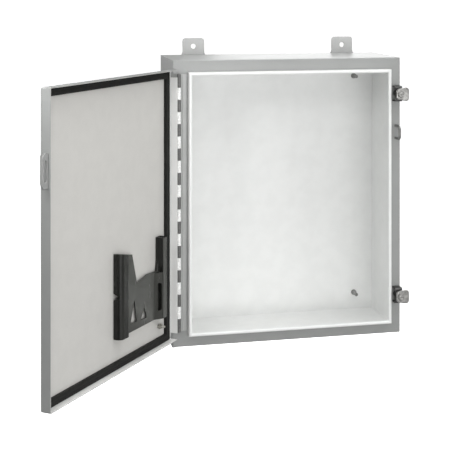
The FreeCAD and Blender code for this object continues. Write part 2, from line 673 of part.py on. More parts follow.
write("padlock_staple", padlock_staple())
write_open("door_hasp", door_hasp())
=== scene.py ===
import json
import math

import bmesh
import bpy
from mathutils import Matrix, Vector, noise


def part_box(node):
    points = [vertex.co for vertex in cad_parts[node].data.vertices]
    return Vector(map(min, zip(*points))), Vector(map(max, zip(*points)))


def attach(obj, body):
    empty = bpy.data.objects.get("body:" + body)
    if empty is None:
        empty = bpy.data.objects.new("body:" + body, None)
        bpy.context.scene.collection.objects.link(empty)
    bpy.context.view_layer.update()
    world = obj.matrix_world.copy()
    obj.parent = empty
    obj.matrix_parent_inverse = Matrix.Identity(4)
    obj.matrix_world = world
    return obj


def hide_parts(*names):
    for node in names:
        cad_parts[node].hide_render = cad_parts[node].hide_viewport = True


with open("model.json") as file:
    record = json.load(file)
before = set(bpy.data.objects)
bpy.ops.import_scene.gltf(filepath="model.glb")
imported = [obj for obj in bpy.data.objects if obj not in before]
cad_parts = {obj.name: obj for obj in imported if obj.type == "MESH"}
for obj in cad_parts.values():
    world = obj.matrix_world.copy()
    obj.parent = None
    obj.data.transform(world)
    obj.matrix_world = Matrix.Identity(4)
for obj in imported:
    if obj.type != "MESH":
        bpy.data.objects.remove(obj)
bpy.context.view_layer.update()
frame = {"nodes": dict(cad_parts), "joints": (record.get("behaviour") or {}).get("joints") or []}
NODES = frame["nodes"]
JOINTS = {j["name"]: j for j in frame["joints"]}

# ---------------------------------------------------------------------------
# places taken from the frame
# ---------------------------------------------------------------------------
body_lo, body_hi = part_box("body_wrap")
swing = JOINTS["door_swing"]
AXIS = Vector(swing["pos_m"])
REST_ANGLE = math.radians(swing["range_deg"][0])          # rest pose seen from closed
TO_CLOSED = Matrix.Translation(AXIS) @ Matrix.Rotation(-REST_ANGLE, 4, "Z") @ Matrix.Translation(-AXIS)
TO_REST = TO_CLOSED.inverted()


def closed_box(node):
    """Box of a door node with the door swung shut."""
    co = [TO_CLOSED @ v.co for v in NODES[node].data.vertices]
    return (Vector([min(c[i] for c in co) for i in range(3)]),
            Vector([max(c[i] for c in co) for i in range(3)]))


flange_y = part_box("top_wall")[0].y       # front of the lip
LIP = 0.019
FLANGE = flange_y + LIP                  # front face of the flange
SHEET = 0.0019
door_lo, door_hi = closed_box("door_shell")


# ---------------------------------------------------------------------------
# small node-tree helper
# ---------------------------------------------------------------------------
class Tree:
    def __init__(self, name, disp="BUMP"):
        self.mat = bpy.data.materials.new(name)
        self.mat.use_nodes = True
        self.nt = self.mat.node_tree
        self.nt.nodes.clear()
        self.out = self.nt.nodes.new("ShaderNodeOutputMaterial")

    def put(self, sock, value):
        if isinstance(value, bpy.types.NodeSocket):
            self.nt.links.new(value, sock)
        elif value is not None:
            sock.default_value = value

    def node(self, kind, inputs=None, **props):
        n = self.nt.nodes.new(kind)
        for k, v in props.items():
            setattr(n, k, v)
        for k, v in (inputs or {}).items():
            self.put(n.inputs[k], v)
        return n

    def math(self, op, a, b=0.0, c=0.0, clamp=False):
        n = self.node("ShaderNodeMath", {0: a, 1: b, 2: c}, operation=op)
        n.use_clamp = clamp
        return n.outputs[0]

    def ramp(self, value, lo, hi, out_lo=0.0, out_hi=1.0, smooth=True):
        n = self.node("ShaderNodeMapRange", {"Value": value, "From Min": lo, "From Max": hi,
                                             "To Min": out_lo, "To Max": out_hi})
        n.interpolation_type = "SMOOTHSTEP" if smooth else "LINEAR"
        return n.outputs[0]

    def mix(self, fac, a, b):
        n = self.node("ShaderNodeMix", data_type="RGBA")
        self.put(n.inputs[0], fac)
        self.put(n.inputs[6], a)
        self.put(n.inputs[7], b)
        return n.outputs[2]

    def mixf(self, fac, a, b):
        n = self.node("ShaderNodeMix", data_type="FLOAT")
        self.put(n.inputs[0], fac)
        self.put(n.inputs[2], a)
        self.put(n.inputs[3], b)
        return n.outputs[0]

    def coords(self, matrix=None):
        co = self.node("ShaderNodeTexCoord").outputs["Object"]
        if matrix is None:
            return co
        loc, rot, _ = matrix.decompose()
        m = self.node("ShaderNodeMapping", {"Vector": co, "Location": loc, "Rotation": rot.to_euler("XYZ")},
                      vector_type="POINT")
        return m.outputs[0]

    def noise(self, co, scale, detail=3.0, rough=0.55, w=0.0):
        n = self.node("ShaderNodeTexNoise", {"Vector": co, "Scale": scale, "Detail": detail, "Roughness": rough})
        return n.outputs["Fac"]

    def voronoi(self, co, scale):
        n = self.node("ShaderNodeTexVoronoi", {"Vector": co, "Scale": scale})
        return n.outputs["Distance"]

    def stretch(self, co, s):
        n = self.node("ShaderNodeMapping", {"Vector": co, "Scale": s}, vector_type="POINT")
        return n.outputs[0]

    def edges(self, radius, width=0.06, gain=3.0):
        """Mask that is 1 on convex and concave edges, from the rounded normal."""
        bevel = self.node("ShaderNodeBevel", {"Radius": radius}, samples=4).outputs[0]
        geo = self.node("ShaderNodeNewGeometry").outputs["Normal"]
        dot = self.node("ShaderNodeVectorMath", {0: bevel, 1: geo}, operation="DOT_PRODUCT").outputs["Value"]
        return self.ramp(self.math("SUBTRACT", 1.0, dot), 0.02, width)

    def bump(self, height, distance, strength=1.0, normal=None):
        n = self.node("ShaderNodeBump", {"Height": height, "Distance": distance, "Strength": strength})
        if normal is not None:
            self.put(n.inputs["Normal"], normal)
        return n.outputs[0]

    def surface(self, color, rough, normal=None, metallic=0.0, **extra):
        p = self.node("ShaderNodeBsdfPrincipled", {"Base Color": color, "Roughness": rough, "Metallic": metallic})
        if normal is not None:
            self.put(p.inputs["Normal"], normal)
        for k, v in extra.items():
            self.put(p.inputs[k], v)
        self.nt.links.new(p.outputs[0], self.out.inputs["Surface"])
        return p


def rgb(r, g, b):
    return (r, g, b, 1.0)


def inside_box(t, co, lo, hi):
    """1 inside the box given by two corners; None leaves a side open."""
    sep = t.node("ShaderNodeSeparateXYZ", {0: co})
    m = None
    for i in range(3):
        for bound, op in ((lo[i], "GREATER_THAN"), (hi[i], "LESS_THAN")):
            if bound is None:
                continue
            s = t.math(op, sep.outputs[i], bound)
            m = s if m is None else t.math("MULTIPLY", m, s)
    return m


# ---------------------------------------------------------------------------
# materials
# ---------------------------------------------------------------------------
GREY = (0.324, 0.331, 0.326)
WHITE = (0.885, 0.893, 0.884)
# the door's inside is the same white coat as the body's inside; here it is made darker as painted shade and warmer as a
# painted warm reflection
DOOR_WHITE_SHADED = (0.660, 0.651, 0.624)


def powder_coat(name, outside, inside, mask_boxes, matrix=None, wear=0.55, peel=1.0, barrel=None, rim=None):
    """Semi-gloss powder coat: orange peel, faint mottling, thinner film and small chips along edges."""
    t = Tree(name)
    co = t.coords(matrix)
    mottle = t.noise(co, 26.0, 5.0, 0.6)
    fine = t.noise(co, 420.0, 2.0, 0.5)
    streak = t.noise(t.stretch(co, (9.0, 9.0, 1.4)), 3.0, 3.0, 0.5)

    def tone(c):
        dark = rgb(*(x * 0.982 for x in c))
        light = rgb(*(min(1.0, x * 1.012) for x in c))
        return t.mix(t.ramp(mottle, 0.36, 0.64), dark, light)

    color = tone(outside)
    if inside is not None:
        m = None
        for lo, hi in mask_boxes:
            s = inside_box(t, co, lo, hi)
            m = s if m is None else t.math("MAXIMUM", m, s)
        color = t.mix(m, color, tone(inside))
        if rim is not None:
            # the rims outside the gasket get a brighter copy of the inside colour, a painted highlight for the light
            # that falls on them
            m2 = None
            for lo, hi in rim[0]:
                s = inside_box(t, co, lo, hi)
                m2 = s if m2 is None else t.math("MAXIMUM", m2, s)
            color = t.mix(t.math("MULTIPLY", m, m2), color, tone(rim[1]))
    if barrel is not None:
        # the hinge barrel, within 4.1–4.7 mm of the axis, takes its own colour varied by noise: near white on the door
        # leaf, a painted highlight, and near black on the body leaf
        sep = t.node("ShaderNodeSeparateXYZ", {0: co})
        flat = t.node("ShaderNodeCombineXYZ", {0: sep.outputs[0], 1: sep.outputs[1], 2: 0.0})
        away = t.node("ShaderNodeVectorMath", {0: flat.outputs[0], 1: (AXIS.x, AXIS.y, 0.0)},
                      operation="DISTANCE").outputs["Value"]
        near = t.ramp(away, 0.0041, 0.0047, 1.0, 0.0)
        barrel_jitter = t.ramp(t.noise(co, 320.0, 3.0, 0.6), 0.35, 0.7, 0.85, 1.25)
        barrel_tone = t.node("ShaderNodeVectorMath", {0: barrel, "Scale": barrel_jitter}, operation="SCALE").outputs[0]
        color = t.mix(near, color, barrel_tone)
    # fine pigment speckle
    color = t.mix(t.ramp(fine, 0.60, 0.74, 0.0, 0.05), color, rgb(0.22, 0.22, 0.21))
    # handling dust in broad vertical streaks
    color = t.mix(t.ramp(streak, 0.55, 0.80, 0.0, 0.03), color, rgb(0.50, 0.48, 0.44))
    edge = t.edges(0.0011, 0.10)
    breakup = t.noise(co, 210.0, 4.0, 0.7)
    chips = t.math("MULTIPLY", edge, t.ramp(breakup, 0.60, 0.68))
    thin = t.math("MULTIPLY", edge, t.ramp(t.noise(co, 38.0, 2.0), 0.35, 0.65, 0.15, wear))
    color = t.mix(t.math("MULTIPLY", thin, 0.30), color, rgb(0.62, 0.62, 0.60))
    color = t.mix(t.math("MULTIPLY", chips, wear), color, rgb(0.24, 0.235, 0.225))
    rough = t.ramp(t.noise(co, 23.0, 4.0), 0.3, 0.7, 0.395, 0.425)
    rough = t.mixf(t.ramp(streak, 0.5, 0.8), rough, 0.44)
    rough = t.mixf(chips, rough, 0.30)
    peel_h = t.math("ADD", t.noise(co, 620.0, 2.0, 0.45), t.math("MULTIPLY", t.noise(co, 210.0, 2.0, 0.45), 0.8))
    peel_h = t.math("SUBTRACT", peel_h, t.math("MULTIPLY", chips, 1.4))
    wave = t.noise(co, 11.0, 2.0, 0.4)
    rounded = t.node("ShaderNodeBevel", {"Radius": 0.0007}, samples=4).outputs[0]
    n1 = t.bump(wave, 0.0008, 0.20, rounded)
    n2 = t.bump(peel_h, 0.000055 * peel, 0.8, n1)
    p = t.surface(color, rough, n2, t.math("MULTIPLY", chips, 0.7))
    t.put(p.inputs["Coat Weight"], 0.12)
    t.put(p.inputs["Coat Roughness"], 0.22)
    return t.mat


# the body is grey outside and white inside; the lip in front of the flange is white too
INNER = [
    ((body_lo.x + 0.00095, FLANGE + 0.00095, body_lo.z + 0.00095), (body_hi.x - 0.00095, -0.0034 - 0.00095, body_hi.z - 0.00095)),
    ((None, None, None), (None, FLANGE - 0.0009, None)),
]
body_mat = powder_coat("body_powder_coat", GREY, WHITE, INNER)
foot_mat = powder_coat("foot_powder_coat", (0.560, 0.565, 0.560), None, [], wear=0.8)
door_inner = [((door_lo.x + 0.00095, door_lo.y + 0.00095, door_lo.z + 0.00095),
               (door_hi.x - 0.00095, None, door_hi.z - 0.00095))]
gasket_lo, gasket_hi = closed_box("door_gasket")
# rims outside the gasket on the hinge side and at the bottom: their near-white colour is a painted highlight
door_lit_rim_boxes = [((None, None, None), (gasket_lo.x, None, None)), ((None, None, None), (None, None, gasket_lo.z))]
door_mat = powder_coat("door_powder_coat", GREY, DOOR_WHITE_SHADED, door_inner, TO_CLOSED, rim=(door_lit_rim_boxes, (0.90, 0.90, 0.885)))
# door leaf: the near-white barrel colour is a painted highlight on its knuckles
leaf_mat = powder_coat("hinge_leaf_coat", (0.40, 0.408, 0.40), None, [], TO_CLOSED, wear=0.5, barrel=(0.92, 0.92, 0.91))
# body leaf: near-black colour on its knuckles
hinge_mat = powder_coat("hinge_strip_coat", (0.43, 0.438, 0.43), None, [], None, wear=0.7, barrel=(0.115, 0.115, 0.112))
hasp_mat = powder_coat("hasp_powder_coat", (0.33, 0.335, 0.33), None, [], TO_CLOSED, wear=0.9)


def metal(name, light, dark, rough=(0.22, 0.40), grain=(1, 1, 1), grain_scale=700.0, tarnish=0.4, pits=0.5, matrix=None):
    """Plated or tumbled steel with directional grain, tarnish in corners and bright worn edges."""
    t = Tree(name)
    co = t.coords(matrix)
    g = t.noise(t.stretch(co, grain), grain_scale, 4.0, 0.65)
    blotch = t.noise(co, 90.0, 4.0, 0.6)
    edge = t.edges(0.0007, 0.10)
    color = t.mix(t.ramp(blotch, 0.35, 0.70), rgb(*light), rgb(*dark))
    color = t.mix(t.ramp(g, 0.35, 0.7, 0.0, 0.25), color, rgb(*(x * 0.55 for x in dark)))
    color = t.mix(t.math("MULTIPLY", edge, 0.55), color, rgb(*(min(1.0, x * 1.25) for x in light)))
    ao = t.node("ShaderNodeAmbientOcclusion", {"Distance": 0.006}, samples=4).outputs["AO"]
    color = t.mix(t.math("MULTIPLY", t.ramp(ao, 0.35, 0.85, 1.0, 0.0), tarnish), color, rgb(0.07, 0.065, 0.06))
    r = t.ramp(g, 0.3, 0.7, rough[0], rough[1])
    r = t.mixf(t.math("MULTIPLY", edge, 0.5), r, rough[0] * 0.8)
    dents = t.ramp(t.voronoi(co, 260.0), 0.05, 0.30)
    h = t.math("ADD", t.math("MULTIPLY", g, 0.5), t.math("MULTIPLY", dents, 0.25 * pits))
    rounded = t.node("ShaderNodeBevel", {"Radius": 0.0005}, samples=4).outputs[0]
    t.surface(color, r, t.bump(h, 0.00012, 0.7, rounded), 1.0)
    return t.mat


stainless_mat = metal("tumbled_stainless", (0.44, 0.437, 0.425), (0.26, 0.256, 0.248), (0.22, 0.40), (1, 1, 4), tarnish=0.55)
dark_mat = metal("dark_plating", (0.15, 0.15, 0.148), (0.085, 0.085, 0.083), (0.38, 0.55), tarnish=0.5)
pin_mat = metal("drawn_pin_steel", (0.30, 0.30, 0.295), (0.20, 0.20, 0.195), (0.30, 0.45), (1, 1, 0.05), tarnish=0.8)
zinc_mat = metal("dull_zinc", (0.36, 0.36, 0.35), (0.22, 0.22, 0.21), (0.35, 0.50), tarnish=0.6)
staple_mat = metal("plated_rod", (0.34, 0.34, 0.335), (0.20, 0.20, 0.195), (0.25, 0.42), (1, 1, 3), tarnish=0.7)
plated_mat = metal("bright_zinc", (0.66, 0.65, 0.60), (0.48, 0.47, 0.42), (0.28, 0.42), tarnish=0.5)


def rubber(name):
    """Closed-cell foam rubber: matt, with fine open cells, faint skin sheen and light dust."""
    t = Tree(name)
    co = t.coords(TO_CLOSED)
    cells = t.voronoi(co, 900.0)
    skin = t.noise(co, 130.0, 5.0, 0.6)
    broad = t.noise(co, 14.0, 3.0, 0.5)
    color = t.mix(t.ramp(skin, 0.35, 0.7), rgb(0.0085, 0.0085, 0.0078), rgb(0.0180, 0.0180, 0.0165))
    color = t.mix(t.ramp(broad, 0.5, 0.8, 0.0, 0.16), color, rgb(0.045, 0.044, 0.041))
    color = t.mix(t.ramp(cells, 0.0, 0.22, 0.5, 0.0), color, rgb(0.008, 0.008, 0.008))
    rough = t.ramp(skin, 0.3, 0.7, 0.62, 0.82)
    h = t.math("ADD", t.math("MULTIPLY", t.ramp(cells, 0.0, 0.30), 0.6), t.math("MULTIPLY", skin, 0.9))
    p = t.surface(color, rough, t.bump(h, 0.00022, 0.8))
    t.put(p.inputs["Specular IOR Level"], 0.16)
    t.put(p.inputs["Sheen Weight"], 0.05)
    t.put(p.inputs["Sheen Roughness"], 0.5)
    return t.mat


rubber_mat = rubber("foam_rubber")


def plastic(name):
    """Moulded charcoal thermoplastic: spark-eroded texture, faint flow marks, polished and scuffed edges."""
    t = Tree(name)
    co = t.coords(TO_CLOSED)
    grain = t.noise(co, 1100.0, 2.0, 0.5)
    pebble = t.voronoi(co, 620.0)
    flow = t.noise(t.stretch(co, (6.0, 6.0, 1.0)), 9.0, 4.0, 0.6)
    scratch = t.noise(t.stretch(co, (1.0, 14.0, 55.0)), 22.0, 2.0, 0.5)
    color = t.mix(t.ramp(flow, 0.35, 0.68), rgb(0.0060, 0.0063, 0.0054), rgb(0.0100, 0.0105, 0.0090))
    # faces turned to the front get a lighter grey, a painted sheen for the brighter reflection they show
    out = (TO_REST.to_3x3() @ Vector((0.0, 1.0, 0.0))).normalized()
    normal = t.node("ShaderNodeTexCoord").outputs["Normal"]
    facing = t.node("ShaderNodeVectorMath", {0: normal, 1: tuple(out)}, operation="DOT_PRODUCT").outputs["Value"]
    lit_front = t.math("MULTIPLY", t.ramp(facing, 0.55, 0.97), t.ramp(flow, 0.2, 0.8, 0.85, 1.1))
    # the painted front sheen falls to 30% on the tall column on the latch side
    column = closed_box("data_pocket")[1].x - 0.029
    across = t.node("ShaderNodeSeparateXYZ", {0: co}).outputs[0]
    lit_front = t.math("MULTIPLY", lit_front, t.ramp(across, column - 0.001, column + 0.006, 1.0, 0.30))
    color = t.mix(lit_front, color, rgb(0.068, 0.0695, 0.0625))
    edge = t.edges(0.0011, 0.09)
    color = t.mix(t.math("MULTIPLY", edge, 0.35), color, rgb(0.09, 0.09, 0.08))
    color = t.mix(t.ramp(scratch, 0.68, 0.76, 0.0, 0.25), color, rgb(0.10, 0.10, 0.09))
    rough = t.ramp(flow, 0.3, 0.7, 0.20, 0.28)
    rough = t.mixf(edge, rough, 0.26)
    h = t.math("ADD", t.math("MULTIPLY", grain, 0.5), t.math("MULTIPLY", t.ramp(pebble, 0.0, 0.4), 0.6))
    rounded = t.node("ShaderNodeBevel", {"Radius": 0.0009}, samples=4).outputs[0]
    p = t.surface(color, rough, t.bump(h, 0.00004, 0.7, rounded))
    t.put(p.inputs["Specular IOR Level"], t.mixf(lit_front, 0.30, 0.55))
    return t.mat


plastic_mat = plastic("moulded_charcoal")


def tape(name):
    """White foam mounting tape."""
    t = Tree(name)
    co = t.coords(TO_CLOSED)
    cells = t.voronoi(co, 800.0)
    soft = t.noise(co, 60.0, 4.0, 0.6)
    color = t.mix(t.ramp(soft, 0.35, 0.7), rgb(0.62, 0.61, 0.57), rgb(0.76, 0.75, 0.71))
    color = t.mix(t.ramp(cells, 0.0, 0.2, 0.4, 0.0), color, rgb(0.45, 0.44, 0.41))
    t.surface(color, t.ramp(soft, 0.3, 0.7, 0.65, 0.85), t.bump(cells, 0.0002, 0.7))
    return t.mat


tape_mat = tape("foam_tape")

FINISH = {
    "body_wrap": body_mat, "top_wall": body_mat, "bottom_wall": body_mat,
    "mounting_foot_top_left": foot_mat, "mounting_foot_top_right": foot_mat,
    "mounting_foot_bottom_left": foot_mat, "mounting_foot_bottom_right": foot_mat,
    "body_hinge_leaf": hinge_mat, "door_hinge_leaf": leaf_mat, "hinge_pin": pin_mat,
    "door_shell": door_mat, "door_gasket": rubber_mat, "data_pocket": plastic_mat,
    "pocket_adhesive_strips": tape_mat, "door_ground_stud": plated_mat, "door_ground_nut": plated_mat,
    "body_ground_stud": plated_mat, "body_ground_nut": plated_mat, "panel_studs": zinc_mat,
    "padlock_staple": staple_mat, "door_hasp": hasp_mat,
}
for tag in ("upper", "lower"):
    FINISH[tag + "_clamp_bracket"] = dark_mat
    FINISH[tag + "_clamp_arm"] = stainless_mat
    FINISH[tag + "_clamp_screw"] = stainless_mat
    FINISH[tag + "_clamp_retainer"] = stainless_mat


def assign(obj, mat):
    if not obj.material_slots:
        obj.data.materials.append(mat)
    for s in obj.material_slots:
        s.material = mat


for n, o in NODES.items():
    assign(o, FINISH[n])


# ---------------------------------------------------------------------------
# mesh helpers
# ---------------------------------------------------------------------------
def add_mesh(name, verts, faces, mat, body, smooth=40.0, matrix=None):
    me = bpy.data.meshes.new(name)
    me.from_pydata([tuple(v) for v in verts], [], faces)
    if matrix is not None:
        me.transform(matrix)
    bm = bmesh.new()
    bm.from_mesh(me)
    bmesh.ops.remove_doubles(bm, verts=bm.verts, dist=1e-7)
    bmesh.ops.recalc_face_normals(bm, faces=bm.faces)
    for f in bm.faces:
        f.smooth = True
    for e in bm.edges:
        e.smooth = len(e.link_faces) == 2 and e.calc_face_angle(0.0) < math.radians(smooth)
    bm.to_mesh(me)
    bm.free()
    obj = bpy.data.objects.new(name, me)
    bpy.context.scene.collection.objects.link(obj)
    assign(obj, mat)
    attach(obj, body)
    return obj


# ---------------------------------------------------------------------------
# gasket: foam strip ring with rounded shoulders and the print of the lip
# ---------------------------------------------------------------------------
def build_gasket():
    lo, hi = closed_box("door_gasket")
    width = 0.016
    tall = hi.y - lo.y
    top, mid = tall - 0.00005, 0.0076
    # (distance in from the outer edge, height)
    prof = [(0.0016, 0.0), (0.0006, 0.0006), (0.0001, 0.0016), (0.0, 0.0038), (0.0001, tall - 0.0021)]
    for k in range(1, 6):
        a = math.pi / 2 * k / 5
        prof.append((0.0001 + 0.0020 * (1 - math.cos(a)), tall - 0.0021 + (top - tall + 0.0021) * math.sin(a)))
    prof += [(mid - 0.0030, top - 0.00002), (mid - 0.0021, top - 0.00022), (mid - 0.0012, top - 0.00062),
             (mid, top - 0.00075), (mid + 0.0012, top - 0.00062), (mid + 0.0021, top - 0.00022),
             (mid + 0.0030, top - 0.00002)]
    for k in range(0, 6):
        a = math.pi / 2 * k / 5
        prof.append((width - 0.0021 + 0.0020 * math.sin(a), tall - 0.0021 + (top - tall + 0.0021) * math.cos(a)))
    prof += [(width, 0.0036), (width - 0.0001, 0.0008), (width - 0.0006, 0.0)]

    # stations round the ring, as (corner or side parameter)
    stations = []
    corners = [(lo.x, lo.z, 1, 1, 180), (hi.x, lo.z, -1, 1, 270), (hi.x, hi.z, -1, -1, 0), (lo.x, hi.z, 1, -1, 90)]
    for i, (cx, cz, sx, sz, a0) in enumerate(corners):
        for k in range(7):
            stations.append(("c", i, math.radians(a0 + 90 * k / 6)))
        nx = corners[(i + 1) % 4]
        length = abs(nx[0] - cx) + abs(nx[1] - cz)
        count = int(length / 0.012)
        for k in range(1, count):
            stations.append(("s", i, k / count))

    def at(station, t):
        r = 0.0017 + t * 0.08
        kind, i, p = station
        cx, cz, sx, sz, _ = corners[i]
        if kind == "c":
            return cx + sx * (t + r) + r * math.cos(p), cz + sz * (t + r) + r * math.sin(p)
        nx, nz, tx, tz, _ = corners[(i + 1) % 4]
        a = (cx + sx * (t + r), cz + sz * (t + r))
        b = (nx + tx * (t + r), nz + tz * (t + r))
        # offset to the outer tangent line of this side
        out = {0: (0, -r), 1: (r, 0), 2: (0, r), 3: (-r, 0)}[i]
        return a[0] + (b[0] - a[0]) * p + out[0], a[1] + (b[1] - a[1]) * p + out[1]

    verts, faces = [], []
    n = len(prof)
    for st in stations:
        for t, h in prof:
            x, z = at(st, t)
            w = noise.noise(Vector((x * 45, z * 45, 3.0))) * 0.5 + 0.5
            w2 = noise.noise(Vector((x * 260, z * 260, 9.0))) * 0.5 + 0.5
            drop = (0.00018 * w + 0.00006 * w2) * max(0.0, h / tall)
            side = 0.00010 * (noise.noise(Vector((x * 60, z * 60, 17.0))) * 0.5 + 0.5)
            inward = side if t < 0.002 else (-side if t > width - 0.002 else 0.0)
            x2, z2 = at(st, t + inward)
            verts.append(Vector((x2, lo.y + h - drop, z2)))
    m = len(stations)
    for i in range(m):
        for j in range(n):
            a = i * n + j
            b = i * n + (j + 1) % n
            c = ((i + 1) % m) * n + (j + 1) % n
            d = ((i + 1) % m) * n + j
            faces.append((a, b, c, d))
    obj = add_mesh("gasket_foam", verts, faces, rubber_mat, "door", 50.0, TO_REST)
    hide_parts("door_gasket")


build_gasket()


# ---------------------------------------------------------------------------
# turned and threaded pieces
# ---------------------------------------------------------------------------
def basis(axis):
    """Two unit vectors square to the axis."""
    axis = Vector(axis).normalized()
    u = Vector((0, 0, 1)) if abs(axis.z) < 0.9 else Vector((1, 0, 0))
    u = (u - axis * u.dot(axis)).normalized()
    return axis, u, axis.cross(u)


class Shell:
    """Vertices and faces gathered for one piece."""

    def __init__(self):
        self.verts, self.faces = [], []

    def rings(self, rows, closed=False):
        """Skin over rows of points of equal count; the first and last row are capped."""
        base = len(self.verts)
        n = len(rows[0])
        for r in rows:
            self.verts += r
        m = len(rows)
        for i in range(m if closed else m - 1):
            for j in range(n):
                a = base + i * n + j
                b = base + i * n + (j + 1) % n
                c = base + ((i + 1) % m) * n + (j + 1) % n
                d = base + ((i + 1) % m) * n + j
                self.faces.append((a, b, c, d))
        if not closed:
            self.faces.append(tuple(base + j for j in reversed(range(n))))
            self.faces.append(tuple(base + (m - 1) * n + j for j in range(n)))

    def lathe(self, origin, axis, profile, seg=40, shape=None):
        """Body of revolution from (along, radius) pairs; shape(angle, radius, along) may change the radius."""
        axis, u, w = basis(axis)
        origin = Vector(origin)
        rows = []
        for h, r in profile:
            row = []
            for j in range(seg):
                a = 2 * math.pi * j / seg
                q = shape(a, r, h) if shape else r
                row.append(origin + axis * h + (u * math.cos(a) + w * math.sin(a)) * q)
            rows.append(row)
        self.rings(rows)

    def thread(self, origin, axis, start, end, crest, depth, pitch, seg=28, lead_in=0.8, run_out=0.0):
        """Threaded rod between two stations, with a chamfered far end and an optional plain run-out."""
        axis, u, w = basis(axis)
        origin = Vector(origin)
        steps = int((end - start) / pitch * 10)
        rows = []
        for i in range(steps + 1):
            h = start + (end - start) * i / steps
            row = []
            for j in range(seg):
                a = 2 * math.pi * j / seg
                f = (h / pitch - a / (2 * math.pi)) % 1.0
                tooth = 1.0 - abs(2.0 * f - 1.0)
                cut = depth * (1.0 - min(1.0, max(0.0, tooth * 1.35 - 0.15)))
                if h - start < run_out:
                    cut *= max(0.0, (h - start) / run_out)
                r = crest - cut
                r = min(r, crest - depth * 1.1 + (end - h) / lead_in / pitch * depth * 1.1)
                row.append(origin + axis * h + (u * math.cos(a) + w * math.sin(a)) * r)
            rows.append(row)
        self.rings(rows)


def middle(node):
    lo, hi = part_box(node)
    return (lo + hi) / 2


# clamp screws: slotted hex washer head with a chamfered crown, threaded shank
def build_screw(tag):
    node = tag + "_clamp_screw"
    lo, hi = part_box(node)
    c = (lo + hi) / 2
    y_head = lo.y
    s = Shell()
    washer = 0.0033                       # from the crown to the top of the washer face
    s.thread((c.x, y_head, c.z), (0, 1, 0), washer + 0.0009, hi.y - lo.y, 0.00315, 0.00062, 0.00127, run_out=0.0015)
    # washer flange, slightly dished towards its rim
    s.lathe((c.x, y_head, c.z), (0, 1, 0), [(0.00300, 0.0046), (0.00318, 0.0058), (0.00345, 0.0066), (0.00372, 0.00692),
                                            (0.00402, 0.00698), (0.00428, 0.00694), (0.00440, 0.0068), (0.00444, 0.0050)], 48)
    # crown: hexagon with corners cut by a cone, the slot pressed in across it
    seg, af = 60, 0.0111 / 2
    ax, u, w = basis((0, 1, 0))

    def corner(a, limit):
        k = (a % (math.pi / 3)) - math.pi / 6
        return min(af / math.cos(k), limit)

    half, deep = 0.00085, 0.0017

    def crown(side):
        """One half of the head beside the slot; side is +1 or -1 in Z."""
        outline = []
        steps = 30
        a0 = math.asin(half / (af * 1.04))
        for k in range(steps + 1):
            a = a0 + (math.pi - 2 * a0) * k / steps
            outline.append(a)

        def ring(limit, inset, h):
            pts = []
            for k, a in enumerate(outline):
                r = corner(a + math.pi / 6, limit) - inset
                x = r * math.cos(a)
                z = max(r * math.sin(a), half + inset * 0.5)
                if k in (0, steps):
                    z = half + inset * 0.5
                pts.append(Vector((c.x + x, y_head + h, c.z + side * z)))
            # back along the slot wall
            x0, x1 = pts[-1].x, pts[0].x
            for k in range(1, 9):
                pts.append(Vector((x0 + (x1 - x0) * k / 9, y_head + h, c.z + side * (half + inset * 0.5))))
            return pts

        rows = [ring(0.0063, 0.0, 0.0034), ring(0.0063, 0.0, 0.0011), ring(0.00606, 0.00005, 0.00066),
                ring(0.00575, 0.00015, 0.00028), ring(0.0054, 0.00032, 0.00006), ring(0.0050, 0.0006, 0.0)]
        s.rings(rows)

    crown(1)
    crown(-1)
    # floor of the slot
    rows = []
    for h, g in ((0.0034, 0.0), (deep + 0.0002, 0.0), (deep, 0.0002)):
        e = math.sqrt(af * af - half * half) - g
        zz = half + 0.0002 - g
        rows.append([Vector((c.x - e, y_head + h, c.z - zz)), Vector((c.x, y_head + h, c.z - zz)), Vector((c.x + e, y_head + h, c.z - zz)),
                     Vector((c.x + e, y_head + h, c.z + zz)), Vector((c.x, y_head + h, c.z + zz)), Vector((c.x - e, y_head + h, c.z + zz))])
    s.rings(rows)
    obj = add_mesh(tag + "_screw_threaded", s.verts, s.faces, stainless_mat, node, 35.0)
    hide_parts(node)


build_screw("upper")
build_screw("lower")


# sub-panel studs: threaded rod in a chamfered collar with a weld ring at its foot
def ripple(a, h, amount, seed):
    return amount * noise.noise(Vector((math.cos(a) * 3.1, math.sin(a) * 3.1, h * 600.0 + seed)))


COLLAR = 0.0066


def build_panel_studs():
    lo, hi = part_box("panel_studs")
    s = Shell()
    tall = hi.y - lo.y
    for i, x in enumerate((lo.x + COLLAR, hi.x - COLLAR)):
        for j, z in enumerate((lo.z + COLLAR, hi.z - COLLAR)):
            o = (x, hi.y, z)
            s.thread(o, (0, -1, 0), 0.0070, tall, 0.00393, 0.00072, 0.00141, run_out=0.0012)
            s.lathe(o, (0, -1, 0), [(0.0, 0.0053), (0.0012, 0.00562), (0.0018, 0.00572), (0.0050, 0.00572), (0.0058, 0.0056), (0.0066, 0.0053),
                                    (0.0072, 0.0048), (0.0075, 0.0044), (0.0075, 0.0040)], 44)
            seed = 7.0 * i + 3.0 * j
            s.lathe(o, (0, -1, 0), [(0.0, 0.00642), (0.0007, 0.00645), (0.0014, 0.0063), (0.0020, 0.00595), (0.0023, 0.0056)], 44,
                    lambda a, r, h: r + ripple(a, h, 0.00016 if h > 0 else 0.0, seed) - 0.00010)
    obj = add_mesh("panel_studs_threaded", s.verts, s.faces, zinc_mat, "cabinet", 40.0)
    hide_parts("panel_studs")


build_panel_studs()


